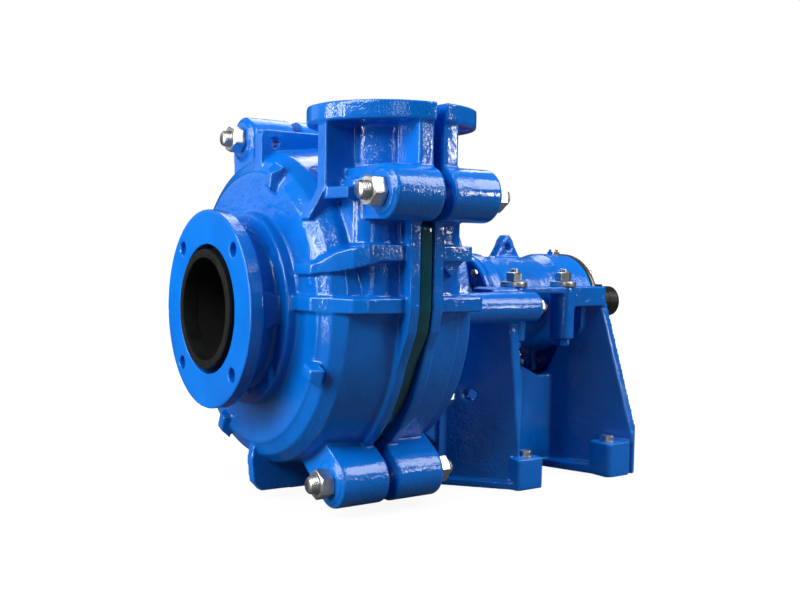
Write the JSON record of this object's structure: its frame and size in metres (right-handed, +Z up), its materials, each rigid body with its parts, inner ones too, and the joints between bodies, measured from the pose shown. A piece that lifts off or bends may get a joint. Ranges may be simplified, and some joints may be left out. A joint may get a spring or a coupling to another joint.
{
  "type": "horizontal slurry pump",
  "caption": "Horizontal centrifugal slurry pump with a split lined casing, closed impeller, packed gland, and a bearing cartridge on a cast pedestal.",
  "frame": {"origin": "centre of the four foot bolts, on the underside of the feet", "axes": "+Y along the shaft towards the drive end, so -Y is the suction side; +Z up towards the discharge flange; +X towards the side the discharge stands on"},
  "size_m": [0.656, 0.8865, 0.622],
  "materials": {
    "blue_casting": "gloss enamel over a sand casting",
    "blue_flange": "satin enamel over a machined face",
    "liner_alloy": "gloss dark green paint",
    "wear_alloy": "as cast, slightly polished",
    "black_rubber": "matt",
    "zinc_steel": "bright zinc",
    "shaft_steel": "ground",
    "bearing_steel": "polished",
    "blue_bolts": "gloss enamel over bolts",
    "gasket_brown": "pressed fibre",
    "packing_fibre": "braided, greased",
    "brass": "turned"
  },
  "bodies": {
    "pump_body": {"pedestal": "blue_casting", "cover_plate": "blue_casting", "frame_plate": "blue_casting", "volute_liner": "liner_alloy", "throatbush": "wear_alloy", "back_liner": "wear_alloy", "liner_seals": "black_rubber", "suction_joint_ring": "black_rubber", "discharge_joint_ring": "black_rubber", "stuffing_box": "wear_alloy", "lantern_ring": "wear_alloy", "packing_rings": "packing_fibre", "gland_bolts": "zinc_steel", "clamp_bolts": "blue_bolts", "clamp_washers": "zinc_steel", "clamp_nuts": "zinc_steel", "casing_bolts": "zinc_steel", "casing_nuts": "zinc_steel", "frame_studs": "zinc_steel", "frame_nuts": "zinc_steel", "adjusting_screw": "zinc_steel", "adjusting_lock_nut": "zinc_steel", "foot_bolts": "zinc_steel"},
    "bearing_cartridge": {"bearing_housing": "blue_casting", "front_end_cover": "blue_casting", "rear_end_cover": "blue_casting", "end_cover_gaskets": "gasket_brown", "end_cover_screws": "zinc_steel", "front_bearing_cup": "bearing_steel", "rear_bearing_cup": "bearing_steel", "grease_retainers": "shaft_steel", "grease_nipples": "brass"},
    "rotor": {"shaft": "shaft_steel", "shaft_key": "shaft_steel", "shaft_sleeve": "shaft_steel", "shaft_spacer": "shaft_steel", "release_collar": "shaft_steel", "impeller": "wear_alloy", "impeller_seal_ring": "black_rubber", "front_bearing_cone": "bearing_steel", "rear_bearing_cone": "bearing_steel", "front_labyrinth": "shaft_steel", "rear_labyrinth": "shaft_steel", "labyrinth_lock_nut": "shaft_steel"},
    "front_rollers": {"front_bearing_rollers": "bearing_steel"},
    "rear_rollers": {"rear_bearing_rollers": "bearing_steel"},
    "gland": {"gland_halves": "wear_alloy"},
    "adjusting_nut_pair": {"adjusting_nuts": "blue_bolts"}
  },
  "joints": [
    {"name": "cartridge_slide", "type": "slide", "parent": "pump_body", "child": "bearing_cartridge", "axis": [0, 1, 0], "range_m": [-0.003, 0.003]},
    {"name": "rotor_spin", "type": "hinge", "parent": "bearing_cartridge", "child": "rotor", "pos_m": [0, -0.015, 0.305], "axis": [0, 1, 0], "continuous": true},
    {"name": "front_rollers_spin", "type": "hinge", "parent": "bearing_cartridge", "child": "front_rollers", "pos_m": [0, -0.07, 0.305], "axis": [0, 1, 0], "continuous": true},
    {"name": "rear_rollers_spin", "type": "hinge", "parent": "bearing_cartridge", "child": "rear_rollers", "pos_m": [0, 0.09, 0.305], "axis": [0, 1, 0], "continuous": true},
    {"name": "gland_slide", "type": "slide", "parent": "pump_body", "child": "gland", "axis": [0, 1, 0], "range_m": [-0.003, 0.006]},
    {"name": "adjusting_nut_turn", "type": "hinge", "parent": "bearing_cartridge", "child": "adjusting_nut_pair", "pos_m": [0, 0.045, 0.192], "axis": [0, 1, 0], "range_deg": [-540, 540]}
  ],
  "couplings": [
    {"joint": "front_rollers_spin", "follows": "rotor_spin", "ratio": 0.46},
    {"joint": "rear_rollers_spin", "follows": "rotor_spin", "ratio": 0.46},
    {"joint": "adjusting_nut_turn", "follows": "cartridge_slide", "rad_per_m": 3141.3}
  ]
}
